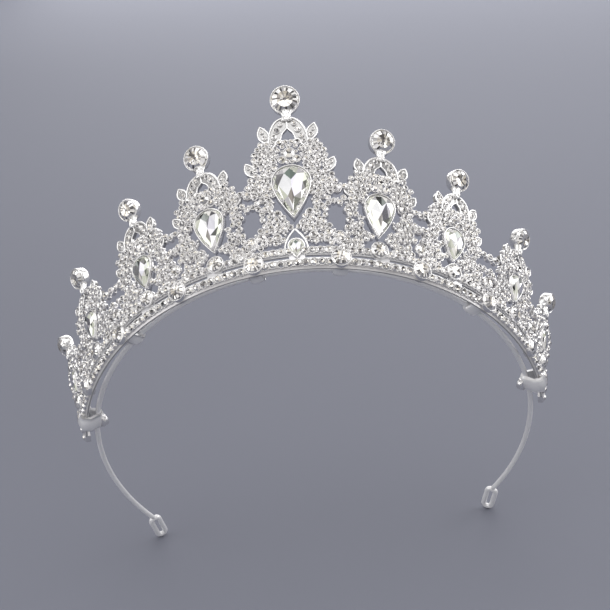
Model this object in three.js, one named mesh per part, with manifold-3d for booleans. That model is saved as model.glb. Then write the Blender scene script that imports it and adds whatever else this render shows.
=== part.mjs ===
// A bridal tiara: nine cast openwork spires set with glass stones stand on a pierced base rail,
// which is tabbed to a sprung headband wire with a hairpin loop at each end.
// Millimetres, +Z up. The rail's flat underside lies on Z = 0, the front centre faces -Y and the
// wire's arms run back to +Y. X = 0 is the plane of symmetry. The origin is the middle of the
// tiara's bounding box, seen from above, on the plane it stands on.
import * as THREE from 'three';
import { mergeVertices } from 'three/addons/utils/BufferGeometryUtils.js';
import { ConvexGeometry } from 'three/addons/geometries/ConvexGeometry.js';
import Module from 'manifold-3d';

const wasm = await Module();
wasm.setup();

// ---- Driving dimensions ----------------------------------------------------------------------

// The rail follows an ellipse seen from above; the panel above it leans outwards.
const BAND_HALF_WIDTH = 70;
const BAND_HALF_DEPTH = 73.5;
const FLARE = THREE.MathUtils.degToRad(14.5);

// Solder gaps and stone seats: neighbouring pieces stay this far apart.
const SEAT = 0.3;

const RAIL = { height: 7, thickness: 2, reach: 103, slotHeight: 1.2, slotAt: 4.3, slotLength: 7.2 };
const WIRE = { thickness: 1.6, lift: 1.5, frontGap: 0.4, sideGap: 1.1, reach: 153 };
const LOOP = { length: 9, width: 4.4, thickness: 1.5 };

// One entry per spire on one side, counted outwards from the centre. Heights run up the slope
// from the rail's underside: along = arc from the centre, tip = height of the tip stone,
// pear = [width, length, height of its middle], half = half the spire's width.
const SPIRES = [
  { along: 0, tip: 56, cup: 8.8, pear: [12, 18, 25], half: 13.2 },
  { along: 23.4, tip: 43.2, cup: 7.6, pear: [9.6, 13.6, 18], half: 11 },
  { along: 45.6, tip: 38.2, cup: 6.8, pear: [7.8, 11, 16], half: 10.4 },
  { along: 70.8, tip: 34.4, cup: 6.6, pear: [6.8, 9.4, 16.2], half: 9.8 },
  { along: 94, tip: 30, cup: 6.4, pear: [6, 8, 14.4], half: 8.8 },
];

const FRAME_THICKNESS = 1.8;
const COLLET = { wall: 0.8, depth: 2.6, floor: 0.6 };
const CUP = { wall: 0.7, depth: 3.4, floor: 1.1 };
const FOOT = RAIL.height + SEAT;
const LEAF = { width: 2.8, length: 6 };

// Flat-backed stones on the rail's face: one at each spire's root and one between two spires.
const ROOT_STONE = { diameter: 4.6, height: 6.4, border: 0.8 };
const JUNCTION_STONE = { diameter: 5.4, height: 3.9 };
const NAVETTE = { width: 3.6, length: 6.6, height: 7.8, gap: 0.7, border: 1 };

// Tabs that fold round the wire, by arc from the centre, and the wider wrap at each rail end.
const TABS = [12, 56];
const TAB = { width: 4, wall: 0.8 };
const WRAP = { at: 98, width: 5.6, wall: 1.2 };

const SILVER = { color: 0xd9dade, roughness: 0.2, metalness: 1 };
const STEEL = { color: 0xc4c6cb, roughness: 0.3, metalness: 1 };
const CRYSTAL = { color: 0xf1f2f4, roughness: 0.05, metalness: 0.1 };

// ---- The band's curve ------------------------------------------------------------------------

const FULL_SWEEP = THREE.MathUtils.degToRad(140);

// An ellipse seen from above, open at the back, pulled in by an inset that grows to the sides.
class BandCurve extends THREE.Curve {
  constructor(frontInset = 0, sideInset = 0, height = 0) {
    super();
    this.frontInset = frontInset;
    this.sideInset = sideInset;
    this.height = height;
    this.arcLengthDivisions = 2000;
  }

  getPoint(t, target = new THREE.Vector3()) {
    const angle = FULL_SWEEP * (2 * t - 1);
    const x = (BAND_HALF_WIDTH - this.sideInset) * Math.sin(angle);
    const y = -(BAND_HALF_DEPTH - this.frontInset) * Math.cos(angle);
    return target.set(x, y, this.height);
  }
}

// The stretch of a band curve between two arcs measured from the front centre.
class BandStretch extends THREE.Curve {
  constructor(band, from, to) {
    super();
    this.band = band;
    this.from = from;
    this.to = to;
  }

  getPoint(t, target = new THREE.Vector3()) {
    const arc = this.from + (this.to - this.from) * t;
    return this.band.getPointAt(0.5 + arc / this.band.getLength(), target);
  }
}

const railCurve = new BandCurve();
const wireOffset = RAIL.thickness / 2 + WIRE.thickness / 2;
const wireCurve = new BandCurve(wireOffset + WIRE.frontGap, wireOffset + WIRE.sideGap,
  WIRE.lift + WIRE.thickness / 2);

// The axes at an arc along a band: x along the band, y up the leaning panel, z out of its face.
function bandFrame(band, arc, lean) {
  const t = 0.5 + arc / band.getLength();
  const along = band.getTangentAt(t);
  const outward = new THREE.Vector3(along.y, -along.x, 0);
  const up = outward.clone().multiplyScalar(Math.sin(lean));
  up.z = Math.cos(lean);
  const face = new THREE.Vector3().crossVectors(along, up);
  return new THREE.Matrix4().makeBasis(along, up, face).setPosition(band.getPointAt(t));
}

// ---- Solids ----------------------------------------------------------------------------------

function solidOf(geometry) {
  const bare = geometry.clone();
  for (const name of Object.keys(bare.attributes)) {
    if (name !== 'position') bare.deleteAttribute(name);
  }
  const merged = mergeVertices(bare, 1e-4);
  return new wasm.Manifold(new wasm.Mesh({
    numProp: 3,
    vertProperties: new Float32Array(merged.attributes.position.array),
    triVerts: new Uint32Array(merged.index.array),
  }));
}

function geometryOf(solid) {
  const mesh = solid.getMesh();
  const geometry = new THREE.BufferGeometry();
  geometry.setAttribute('position', new THREE.BufferAttribute(mesh.vertProperties, 3));
  geometry.setIndex(new THREE.BufferAttribute(mesh.triVerts, 1));
  return geometry;
}

function join(geometries) {
  return geometries.map(solidOf).reduce((whole, next) => whole.add(next));
}

function cut(solid, geometries) {
  return geometries.map(solidOf).reduce((rest, next) => rest.subtract(next), solid);
}

// A flat shape given a thickness, centred on its own plane.
function plate(shape, thickness, curveSegments = 6) {
  const geometry = new THREE.ExtrudeGeometry(shape, {
    depth: thickness, bevelEnabled: false, curveSegments,
  });
  return geometry.translate(0, 0, -thickness / 2);
}

// A closed section swept along a curve that lies level; section points are [outward, up].
function sweep(section, curve, steps) {
  const shape = new THREE.Shape(section.map(([outward, up]) => new THREE.Vector2(-up, -outward)));
  return new THREE.ExtrudeGeometry(shape, { steps, extrudePath: curve, bevelEnabled: false });
}

// A box section with its corners taken off.
function softBox(width, height) {
  const chamfer = 0.28 * Math.min(width, height);
  const x = width / 2;
  const y = height / 2;
  return [
    [x - chamfer, -y], [x, chamfer - y], [x, y - chamfer], [x - chamfer, y],
    [chamfer - x, y], [-x, y - chamfer], [-x, chamfer - y], [chamfer - x, -y],
  ];
}

// ---- Flat outlines ---------------------------------------------------------------------------

// A teardrop standing on its point, its middle at the origin.
function pearShape(width, length) {
  const radius = width / 2;
  const shoulder = length / 2 - radius;
  const belly = shoulder - 0.4 * (shoulder + length / 2);
  return new THREE.Shape()
    .moveTo(0, -length / 2)
    .quadraticCurveTo(0.92 * radius, belly, radius, shoulder)
    .absarc(0, shoulder, radius, 0, Math.PI)
    .quadraticCurveTo(-0.92 * radius, belly, 0, -length / 2);
}

// A pointed oval standing upright, its middle at the origin.
function leafShape(width, length) {
  return new THREE.Shape()
    .moveTo(0, -length / 2)
    .quadraticCurveTo(width, 0, 0, length / 2)
    .quadraticCurveTo(-width, 0, 0, -length / 2);
}

function discShape(diameter) {
  return new THREE.Shape().absarc(0, 0, diameter / 2, 0, 2 * Math.PI);
}

// ---- Stones ----------------------------------------------------------------------------------

// A faceted stone on any outline, its back on Z = 0: the girdle, then a smaller table in front.
function stone(outline, girdle, crown, tableScale) {
  const points = [];
  for (const { x, y } of outline) {
    points.push(new THREE.Vector3(x, y, 0));
    points.push(new THREE.Vector3(x, y, girdle));
    points.push(new THREE.Vector3(tableScale * x, tableScale * y, girdle + crown));
  }
  return new ConvexGeometry(points);
}

function roundStone(diameter) {
  return stone(discShape(diameter).getPoints(4).slice(1), 0.5, 0.2 * diameter, 0.55);
}

// ---- One spire -------------------------------------------------------------------------------

// Florets, as [across, up] for the right half, following the pear down to the rail.
function floretPlaces(spire) {
  const [width, length, middle] = spire.pear;
  const beside = width / 2 + 2.6;
  const tip = middle - length / 2;
  return [
    [0.86 * beside, middle + 0.38 * length],
    [beside, middle + 0.12 * length],
    [0.97 * beside, middle - 0.14 * length],
    [0.68 * beside, tip + 0.12 * length],
    [0.68 * spire.half, (FOOT + tip) / 2],
  ];
}

function bothHalves(makeOne) {
  return [makeOne(1), makeOne(-1)];
}

function florets(spire) {
  const size = 2.7 + 0.18 * spire.pear[1];
  return floretPlaces(spire).flatMap(([across, up]) => bothHalves((side) => (
    plate(discShape(size), FRAME_THICKNESS, 3).translate(side * across, up, 0))));
}

// A pointed leaf growing outwards from a point, leaning away from the vertical.
function outerLeaf([across, up], lean) {
  const reach = 1.2 + LEAF.length / 2;
  return bothHalves((side) => plate(leafShape(LEAF.width, LEAF.length), FRAME_THICKNESS, 3)
    .rotateZ(-side * lean)
    .translate(side * (across + reach * Math.sin(lean)), up + reach * Math.cos(lean), 0));
}

// A rib between two points, as one bar of the openwork.
function rib([x0, y0], [x1, y1], width) {
  const span = Math.hypot(x1 - x0, y1 - y0);
  return new THREE.BoxGeometry(width, span, FRAME_THICKNESS)
    .rotateZ(-Math.atan2(x1 - x0, y1 - y0))
    .translate((x0 + x1) / 2, (y0 + y1) / 2, 0);
}

// Where the arch's right leaf starts, under the neck, and where it ends, on the first floret.
function archLine(spire) {
  const [width, length, middle] = spire.pear;
  const neckFoot = [1, spire.tip - 0.5 * spire.cup - 0.05 * spire.tip];
  return [neckFoot, [0.8 * (width / 2 + 2.6), middle + 0.49 * length]];
}

// Two curved leaves leaning together over the pear, with a rounded gap between them.
function archLeaves(spire) {
  const [[x0, y0], [x1, y1]] = archLine(spire);
  const span = Math.hypot(x1 - x0, y1 - y0) + 1;
  return bothHalves((side) => plate(leafShape(0.27 * span, span), FRAME_THICKNESS, 4)
    .rotateZ(-side * Math.atan2(x1 - x0, y1 - y0))
    .translate(side * (x0 + x1) / 2, (y0 + y1) / 2, 0));
}

// The polished cup at the top: a short bowl, open in front, on a waisted neck.
function tipCup(spire) {
  const outer = spire.cup / 2;
  const inner = outer - CUP.wall;
  const back = -CUP.depth / 2;
  const profile = [
    [0, back], [outer, back], [outer, back + CUP.depth], [inner, back + CUP.depth],
    [inner, back + CUP.floor], [0, back + CUP.floor],
  ].map(([x, y]) => new THREE.Vector2(x, y));
  return new THREE.LatheGeometry(profile, 10).rotateX(Math.PI / 2).translate(0, spire.tip, 0);
}

function neck(spire) {
  const bottom = spire.tip - 0.5 * spire.cup - 0.07 * spire.tip;
  const top = spire.tip - 0.4 * spire.cup;
  const profile = [[0, bottom], [1.8, bottom], [1.1, (bottom + top) / 2], [1.5, top], [0, top]]
    .map(([x, y]) => new THREE.Vector2(x, y));
  return new THREE.LatheGeometry(profile, 6);
}

function pearSeat(spire) {
  return pearShape(spire.pear[0] + 2 * SEAT, spire.pear[1] + 2 * SEAT);
}

// The collet round the pear: a walled dish whose seat is cut out of the finished frame.
function pearCollet(spire) {
  const grow = 2 * (SEAT + COLLET.wall);
  const shape = pearShape(spire.pear[0] + grow, spire.pear[1] + grow);
  return plate(shape, COLLET.depth, 4).translate(0, spire.pear[2], 0);
}

// A row of three small settings between the pear and the arch.
function trefoil(spire) {
  const [, length, middle] = spire.pear;
  const top = middle + length / 2;
  return [[0, 2.9], [1.9, 1.6], [-1.9, 1.6]].map(([x, y]) => (
    plate(discShape(3), FRAME_THICKNESS, 3).translate(x, top + y, 0)));
}

// The raised boss that the rail holds at a spire's root: a pointed frame in the centre, where
// the navette stone stands, and a round setting on the others.
function rootBoss(spire, grow, thickness) {
  if (spire.along !== 0) {
    return plate(discShape(ROOT_STONE.diameter + 2 * ROOT_STONE.border + 2 * grow), thickness, 3)
      .translate(0, ROOT_STONE.height, 0);
  }
  const around = 2 * (NAVETTE.gap + NAVETTE.border + grow);
  return plate(leafShape(NAVETTE.width + around, NAVETTE.length + 1.4 * around), thickness, 5)
    .translate(0, NAVETTE.height, 0);
}

function spireFrame(spire) {
  const places = floretPlaces(spire);
  const [archTop, archFoot] = archLine(spire);
  const archMiddle = [0.45 * (archTop[0] + archFoot[0]), 0.5 * (archTop[1] + archFoot[1])];
  const [under, last] = places.slice(-2);
  const pieces = [
    ...archLeaves(spire), neck(spire), tipCup(spire), pearCollet(spire), ...trefoil(spire),
    ...florets(spire),
    ...outerLeaf(archMiddle, 0.8), ...outerLeaf(places[0], 1.2),
  ];
  for (const side of [1, -1]) {
    const knee = [side * last[0], last[1]];
    pieces.push(rib(knee, [side * under[0], under[1]], 2));
    pieces.push(rib(knee, [side * 0.5 * spire.half, FOOT], 1.6));
    pieces.push(rib(knee, [side * 0.86 * spire.half, FOOT], 1.6));
  }
  const floor = COLLET.floor - COLLET.depth / 2;
  const seat = plate(pearSeat(spire), 4, 4).translate(0, spire.pear[2], floor + 2);
  const below = new THREE.BoxGeometry(4 * spire.half, 4, 4 * COLLET.depth).translate(0, FOOT - 2, 0);
  return geometryOf(cut(join(pieces), [seat, below, rootBoss(spire, SEAT, 4 * COLLET.depth)]));
}

function pearStone(spire) {
  const [width, length] = spire.pear;
  return stone(pearShape(width, length).getPoints(3), 1.2, 0.14 * width, 0.6);
}

// ---- Rail, wire and tabs ---------------------------------------------------------------------

// Every spire as it stands round the band: left side, centre, right side.
const placedSpires = SPIRES.flatMap((spire, index) => {
  if (index === 0) return [{ ...spire, label: 'centre' }];
  return [
    { ...spire, label: `right_${index}` },
    { ...spire, along: -spire.along, label: `left_${index}` },
  ];
});

// The arcs half way between neighbouring spires on the right.
const junctionArcs = SPIRES.slice(1).map((spire, index) => (
  (spire.along + SPIRES[index].along) / 2));

// The middles of the rail's slots on the right: each sits between a root and a junction.
const slotArcs = SPIRES.slice(1).flatMap((spire, index) => {
  const quarter = (spire.along - SPIRES[index].along) / 4;
  return [SPIRES[index].along + quarter, spire.along - quarter];
});

function bothSides(arcs) {
  return arcs.flatMap((arc) => [arc, -arc]);
}

function atRail(geometry, arc, height) {
  return geometry.translate(0, height, 0).applyMatrix4(bandFrame(railCurve, arc, FLARE));
}

function baseRail() {
  const lean = Math.tan(FLARE);
  const top = RAIL.height * Math.cos(FLARE);
  const half = RAIL.thickness / 2;
  const section = [[-half, 0], [half, 0], [half + lean * top, top], [lean * top - half, top]];
  const strip = sweep(section, new BandStretch(railCurve, -RAIL.reach, RAIL.reach), 44);
  const bosses = placedSpires.map((spire) => (
    atRail(rootBoss(spire, 0, RAIL.thickness + 0.6), spire.along, 0)));
  const slots = bothSides(slotArcs).map((arc) => (
    atRail(new THREE.BoxGeometry(RAIL.slotLength, RAIL.slotHeight, 3 * RAIL.thickness), arc,
      RAIL.slotAt)));
  const opening = leafShape(NAVETTE.width + 2 * NAVETTE.gap, NAVETTE.length + 2.8 * NAVETTE.gap);
  const window = atRail(plate(opening, 3 * RAIL.thickness, 5), 0, NAVETTE.height);
  return geometryOf(cut(join([strip, ...bosses]), [...slots, window]));
}

// A hairpin loop: the wire's end bent round into a long oval and closed.
function endLoop(side) {
  const radius = (LOOP.width - LOOP.thickness) / 2;
  const straight = (LOOP.length - LOOP.width) / 2;
  const oval = (path, size) => path
    .absarc(straight, 0, size, -Math.PI / 2, Math.PI / 2)
    .absarc(-straight, 0, size, Math.PI / 2, 1.5 * Math.PI);
  const outline = oval(new THREE.Shape(), radius + LOOP.thickness / 2);
  outline.holes.push(oval(new THREE.Path(), radius - LOOP.thickness / 2));
  return plate(outline, LOOP.thickness, 4)
    .translate(side * (LOOP.length - LOOP.thickness) / 2, 0, 0)
    .applyMatrix4(bandFrame(wireCurve, side * WIRE.reach, 0));
}

function headbandWire() {
  const section = softBox(WIRE.thickness, WIRE.thickness);
  const run = sweep(section, new BandStretch(wireCurve, -WIRE.reach, WIRE.reach), 60);
  return geometryOf(join([run, endLoop(1), endLoop(-1)]));
}

// A hook that folds over, behind and under the wire; its open side faces the rail's back.
function wireClasp(arc, width, wall) {
  const t = railCurve.getUtoTmapping(0.5 + arc / railCurve.getLength());
  const wire = wireCurve.getPoint(t);
  const outward = railCurve.getPoint(t).setZ(wire.z).sub(wire);
  const room = WIRE.thickness / 2 + SEAT;
  const open = outward.length() - RAIL.thickness / 2 - SEAT;
  const back = -room - wall;
  const shape = new THREE.Shape([
    [open, -room], [-room, -room], [-room, room], [open, room],
    [open, room + wall], [back, room + wall], [back, back], [open, back],
  ].map(([across, up]) => new THREE.Vector2(across, up)));
  const up = new THREE.Vector3(0, 0, 1);
  outward.normalize();
  const basis = new THREE.Matrix4().makeBasis(outward, up, outward.clone().cross(up));
  return plate(shape, width).applyMatrix4(basis.setPosition(wire));
}

// ---- Assembly --------------------------------------------------------------------------------

const tiara = new THREE.Group();

function addPiece(name, geometry, look, parent = tiara) {
  const mesh = new THREE.Mesh(geometry, new THREE.MeshStandardMaterial(look));
  mesh.name = name;
  parent.add(mesh);
  return mesh;
}

// A turned group standing on the rail at an arc, its y axis running up the leaning panel.
function panelGroup(arc) {
  const group = new THREE.Group();
  group.applyMatrix4(bandFrame(railCurve, arc, FLARE));
  tiara.add(group);
  return group;
}

addPiece('headband_wire', headbandWire(), STEEL);
addPiece('base_rail', baseRail(), SILVER);

const railFace = RAIL.thickness / 2 + SEAT;
for (const spire of placedSpires) {
  const group = panelGroup(spire.along);
  addPiece(`spire_frame_${spire.label}`, spireFrame(spire), SILVER, group);
  addPiece(`pear_stone_${spire.label}`, pearStone(spire), CRYSTAL, group)
    .position.set(0, spire.pear[2], COLLET.floor + SEAT - COLLET.depth / 2);
  addPiece(`tip_stone_${spire.label}`, roundStone(spire.cup - 2 * CUP.wall - 2 * SEAT), CRYSTAL, group)
    .position.set(0, spire.tip, CUP.floor + SEAT - CUP.depth / 2);
  if (spire.along !== 0) {
    addPiece(`root_stone_${spire.label}`, roundStone(ROOT_STONE.diameter), CRYSTAL, group)
      .position.set(0, ROOT_STONE.height, railFace + 0.3);
  } else {
    const outline = leafShape(NAVETTE.width, NAVETTE.length).getPoints(4);
    addPiece('navette_stone_centre', stone(outline, 1, 0.7, 0.5), CRYSTAL, group)
      .position.set(0, NAVETTE.height, 0);
  }
}

for (const side of ['right', 'left']) {
  const sign = side === 'right' ? 1 : -1;
  junctionArcs.forEach((arc, index) => {
    addPiece(`junction_stone_${side}_${index + 1}`, roundStone(JUNCTION_STONE.diameter), CRYSTAL,
      panelGroup(sign * arc)).position.set(0, JUNCTION_STONE.height, railFace + 0.2);
  });
  TABS.forEach((arc, index) => {
    const clasp = wireClasp(sign * arc, TAB.width, TAB.wall);
    addPiece(`wire_tab_${side}_${index + 1}`, clasp, SILVER);
  });
  addPiece(`end_wrap_${side}`, wireClasp(sign * WRAP.at, WRAP.width, WRAP.wall), SILVER);
}

// The band's curve is centred on its ellipse, so the finished tiara is moved to its own middle.
const bounds = new THREE.Box3().setFromObject(tiara, true);
tiara.position.y = -(bounds.min.y + bounds.max.y) / 2;

export default tiara;
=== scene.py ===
# Bridal tiara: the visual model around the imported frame, with its materials, lights, floor and
# camera. Lengths in this script are in millimetres unless a name says otherwise.
import random
from math import atan2, copysign, cos, hypot, pi, radians, sin, tan

import bpy
import numpy as np
from mathutils import Matrix, Vector


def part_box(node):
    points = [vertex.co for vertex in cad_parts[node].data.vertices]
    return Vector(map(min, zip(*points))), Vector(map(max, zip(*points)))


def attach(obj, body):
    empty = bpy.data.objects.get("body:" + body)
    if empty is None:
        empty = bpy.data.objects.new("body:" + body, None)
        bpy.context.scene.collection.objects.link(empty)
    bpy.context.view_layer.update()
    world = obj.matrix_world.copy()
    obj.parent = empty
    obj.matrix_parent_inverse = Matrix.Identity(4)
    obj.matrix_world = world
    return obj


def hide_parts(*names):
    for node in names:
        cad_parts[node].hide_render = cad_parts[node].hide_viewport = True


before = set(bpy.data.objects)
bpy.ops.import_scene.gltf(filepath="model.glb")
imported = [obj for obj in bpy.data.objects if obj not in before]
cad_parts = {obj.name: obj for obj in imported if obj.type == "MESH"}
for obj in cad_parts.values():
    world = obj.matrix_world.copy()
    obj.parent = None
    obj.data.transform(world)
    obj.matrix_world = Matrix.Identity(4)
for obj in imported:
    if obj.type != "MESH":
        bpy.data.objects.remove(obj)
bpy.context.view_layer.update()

MM = 0.001

# ---- Driving dimensions, as the frame has them ----

BAND_HALF_WIDTH = 70.0
BAND_HALF_DEPTH = 73.5
FLARE = radians(14.5)

RAIL_HEIGHT = 7.0
RAIL_THICKNESS = 2.0
RAIL_REACH = 103.0
SLOT_LENGTH = 7.4
SLOT_HEIGHT = 1.05
SLOT_AT = 3.75
RAIL_DEPTH = 1.15
RAIL_BEVEL = 0.5
RAIL_BEVEL_TOP = 2.0

WIRE_THICKNESS = 1.6
WIRE_LIFT = 1.5
WIRE_FRONT_INSET = RAIL_THICKNESS / 2 + WIRE_THICKNESS / 2 + 0.4
WIRE_SIDE_INSET = RAIL_THICKNESS / 2 + WIRE_THICKNESS / 2 + 1.1
WIRE_REACH = 149.5
LOOP_LENGTH = 11.0
LOOP_WIDTH = 4.5
LOOP_ROUND = 0.87
LOOP_ROLL = radians(115)
LOOP_TURN = radians(22)

# One row per spire on one side, counted outwards from the centre: arc along the rail, height of
# the tip stone, cup diameter, the pear's width, length and middle, how far the openwork reaches
# to either side, the heights of the two links to the next spire out, and how far the foot is
# set towards the centre, the top fans along the band, and the panel leans out further.
SPIRES = [
    dict(along=0.0, tip=57.4, cup=8.8, pear=(10.8, 17.2, 25.4), reach=13.3, links=(26.2, 21.2),
         shift=0.0, fan=0.0, lean=0.0),
    dict(along=23.4, tip=44.0, cup=7.6, pear=(8.6, 14.2, 18.1), reach=10.4, links=(21.8, 16.6),
         shift=1.5, fan=0.035, lean=0.0),
    dict(along=45.6, tip=38.8, cup=6.8, pear=(6.9, 10.6, 15.8), reach=9.6, links=(18.0, 12.6),
         shift=1.0, fan=0.012, lean=0.015),
    dict(along=70.8, tip=34.8, cup=6.6, pear=(6.4, 9.4, 16.0), reach=9.2, links=(16.0, 11.4),
         shift=0.3, fan=0.01, lean=0.022),
    dict(along=94.0, tip=30.0, cup=6.4, pear=(5.6, 8.0, 14.4), reach=8.4, links=(),
         shift=0.3, fan=0.01, lean=0.02),
]
# The round stones on the rail: height, diameter, and the back and front of the setting.
JUNCTION = dict(height=2.9, diameter=5.2, back=-0.6, front=1.9)
ROOT = dict(height=6.4, diameter=4.6, back=-0.8, front=1.8)
UPPER = dict(height=10.2, diameter=3.2, back=-0.9, front=0.9)
NAVETTE_SIZE = (4.0, 5.6)
NAVETTE_HEIGHT = 6.5
NAVETTE_PEAK = [(0.0, 13.0), (0.9, 11.8), (2.2, 10.0), (3.0, 7.8), (3.3, 5.4)]
TABS = (12.0, 56.0)
TAB_SINK = 1.5
WRAP_AT = 96.6
CLASP_THICKNESS = 0.7
SIDES = ((1, "right"), (-1, "left"))

# Small stones set in the castings.
PAVE_CUPS = (0.86, 1.12)
FILLER = 0.42
PAVE_PITCH = 1.05
PAVE_TRIES = 30
LARGE_SHARE = 0.14
CAST_BACK = -0.9
CAST_FRONT = 0.75

# ---- The band's curve ----


class Band:
    """An ellipse seen from above, open at the back, read by arc from the front centre."""

    def __init__(self, front_inset=0.0, side_inset=0.0, height=0.0):
        self.a = BAND_HALF_WIDTH - side_inset
        self.b = BAND_HALF_DEPTH - front_inset
        self.height = height
        self.angles = np.linspace(0, radians(140), 4001)
        speed = np.hypot(self.a * np.cos(self.angles), self.b * np.sin(self.angles))
        steps = (speed[1:] + speed[:-1]) / 2 * np.diff(self.angles)
        self.arcs = np.concatenate([[0.0], np.cumsum(steps)])

    def angle(self, arc):
        return copysign(np.interp(abs(arc), self.arcs, self.angles), arc)

    def at_angle(self, angle):
        """Point, direction along the band, and direction outwards."""
        point = Vector((self.a * sin(angle), BAND_CENTRE_Y - self.b * cos(angle),
                        self.height))
        along = Vector((self.a * cos(angle), self.b * sin(angle), 0)).normalized()
        return point, along, Vector((along.y, -along.x, 0))

    def at(self, arc):
        return self.at_angle(self.angle(arc))


# The ellipse's middle, from where the wire's front lies in the frame.
wire_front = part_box("headband_wire")[0].y / MM
BAND_CENTRE_Y = wire_front + BAND_HALF_DEPTH - WIRE_FRONT_INSET + WIRE_THICKNESS / 2

rail_band = Band()
wire_band = Band(WIRE_FRONT_INSET, WIRE_SIDE_INSET, WIRE_LIFT + WIRE_THICKNESS / 2)


def panel(arc, lean=FLARE, band=rail_band):
    """Axes at an arc: x along the band, y up the leaning panel, z out of its face."""
    point, along, outward = band.at(arc)
    up = outward * sin(lean) + Vector((0, 0, cos(lean)))
    face = along.cross(up)
    axes = Matrix((along, up, face)).transposed().to_4x4()
    return Matrix.Translation(point) @ axes


# ---- Gathering geometry ----


def new_object(name, data):
    item = bpy.data.objects.new(name, data)
    bpy.context.scene.collection.objects.link(item)
    return item


class Shape:
    """Points and faces gathered for one piece. Tints are given as one for all faces, or as a
    list with one for each face or for each equal run of faces."""

    def __init__(self):
        self.points = []
        self.faces = []
        self.tints = []
        self.smooth = []
        self.count = 0

    def add(self, place, points, faces, tint, smooth=True):
        array = np.asarray(points, float)
        matrix = np.array(place)
        self.points.append(array @ matrix[:3, :3].T + matrix[:3, 3])
        self.faces.extend([tuple(i + self.count for i in face) for face in faces])
        tints = tint if isinstance(tint, list) else [tint]
        self.tints.extend(t for t in tints for _ in range(len(faces) // len(tints)))
        self.smooth.extend([smooth] * len(faces))
        self.count += len(array)


def make_piece(name, shape, material, slot, *replaced):
    """Turns gathered geometry into an object that rides on the tiara's one body."""
    mesh = bpy.data.meshes.new(name)
    mesh.from_pydata((np.concatenate(shape.points) * MM).tolist(), [], shape.faces)
    mesh.polygons.foreach_set("use_smooth", shape.smooth)
    # The tints, among them painted highlight, shade and reflections, go on the mesh as a colour.
    layer = mesh.color_attributes.new("tint", "FLOAT_COLOR", "CORNER")
    sizes = [len(face) for face in shape.faces]
    colours = np.repeat(np.array([(*tint, 1.0) for tint in shape.tints]), sizes, axis=0)
    layer.data.foreach_set("color", colours.ravel())
    mesh.update()
    piece = new_object(name, mesh)
    mesh.materials.append(material)
    if replaced:
        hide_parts(*replaced)
    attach(piece, "root")
    return piece


# ---- Primitives ----


def join_rings(low, high):
    """Faces between two closed rings of point numbers, in which a number may repeat."""
    faces = []
    for i in range(len(low)):
        j = (i + 1) % len(low)
        loop = [low[i], low[j], high[j], high[i]]
        faces.append([p for n, p in enumerate(loop) if p != loop[n - 1]])
    return faces


def lathe(profile, sides, turn=0.0):
    """A profile of (radius, height) turned about z; a radius of 0 makes a single pole point."""
    points = []
    rings = []
    for radius, height in profile:
        step = 1 if radius else 0
        rings.append([len(points) + step * i for i in range(sides)])
        for i in range(sides if radius else 1):
            angle = turn + 2 * pi * i / sides
            points.append((radius * cos(angle), radius * sin(angle), height))
    return points, [face for low, high in zip(rings, rings[1:]) for face in join_rings(low, high)]


def ring_faces(count, levels):
    """Faces between closed rings of points that follow one another."""
    faces = []
    for low in range(0, (levels - 1) * count, count):
        faces += join_rings(range(low, low + count), range(low + count, low + 2 * count))
    return faces


def end_caps(count, levels):
    """Faces that close the first and the last of those rings."""
    last = (levels - 1) * count
    return [tuple(range(count))[::-1], tuple(range(last, last + count))]


def strip_faces(low, high, count):
    """Four-cornered faces between two open rows of points."""
    return [(low + n, low + n + 1, high + n + 1, high + n) for n in range(count - 1)]


def tube(path, radii, sides=6, closed=False, flat=1.0):
    """A tube along a path; flat scales it across z."""
    path = [Vector(p) for p in path]
    count = len(path)
    radii = radii if isinstance(radii, list) else [radii] * count
    points = []
    for i, point in enumerate(path):
        before = path[i - 1] if i or closed else point
        after = path[(i + 1) % count] if i + 1 < count or closed else point
        along = (after - before).normalized()
        side = along.cross(Vector((0, 0, 1))).normalized()
        up = side.cross(along)
        for k in range(sides):
            angle = 2 * pi * (k + 0.5) / sides
            offset = side * cos(angle) + up * (flat * sin(angle))
            points.append(point + offset * radii[i])
    faces = ring_faces(sides, count)
    if not closed:
        return points, faces + end_caps(sides, count)
    last = (count - 1) * sides
    return points, faces + join_rings(range(last, last + sides), range(sides))


def prism(outline, low, high, inset=0.0):
    """A plate on a 2-D outline between two heights, its front edge drawn in by an inset."""
    middle = np.mean(np.array(outline), axis=0)
    points = [(x, y, low) for x, y in outline]
    points += [(x, y, high - inset) for x, y in outline]
    for x, y in outline:
        away = Vector((x - middle[0], y - middle[1]))
        shrink = 1 - inset / max(away.length, 0.01)
        points.append((middle[0] + away.x * shrink, middle[1] + away.y * shrink, high))
    return points, end_caps(len(outline), 3) + ring_faces(len(outline), 3)


def at(x, y, z=0.0, turn=0.0):
    return Matrix.Translation((x, y, z)) @ Matrix.Rotation(turn, 4, "Z")


def pear_outline(width, length, count, middle=0.0):
    """A teardrop standing on its point: curved flanks up to the shoulder and a round top."""
    radius = width / 2
    shoulder = length / 2 - radius
    belly = shoulder - 0.4 * (shoulder + length / 2)
    quarter = count // 4
    side = []
    for t in (i / quarter for i in range(quarter)):
        x = 2 * t * (1 - t) * 0.92 * radius + t * t * radius
        y = (1 - t) ** 2 * (-length / 2) + 2 * t * (1 - t) * belly + t * t * shoulder
        side.append((x, y))
    for i in range(quarter):
        angle = pi / 2 * i / quarter
        side.append((radius * cos(angle), shoulder + radius * sin(angle)))
    left = [(-x, y) for x, y in reversed(side[1:])]
    return [(x, y + middle) for x, y in side + [(0.0, shoulder + radius)] + left]


def leaf_outline(width, length):
    """A pointed oval standing upright on the origin."""
    half = 8
    right = [(2 * t * (1 - t) * width, t * length) for t in (i / half for i in range(half))]
    left = [(-2 * t * (1 - t) * width, t * length) for t in (1 - i / half for i in range(half))]
    return right + left
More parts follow.
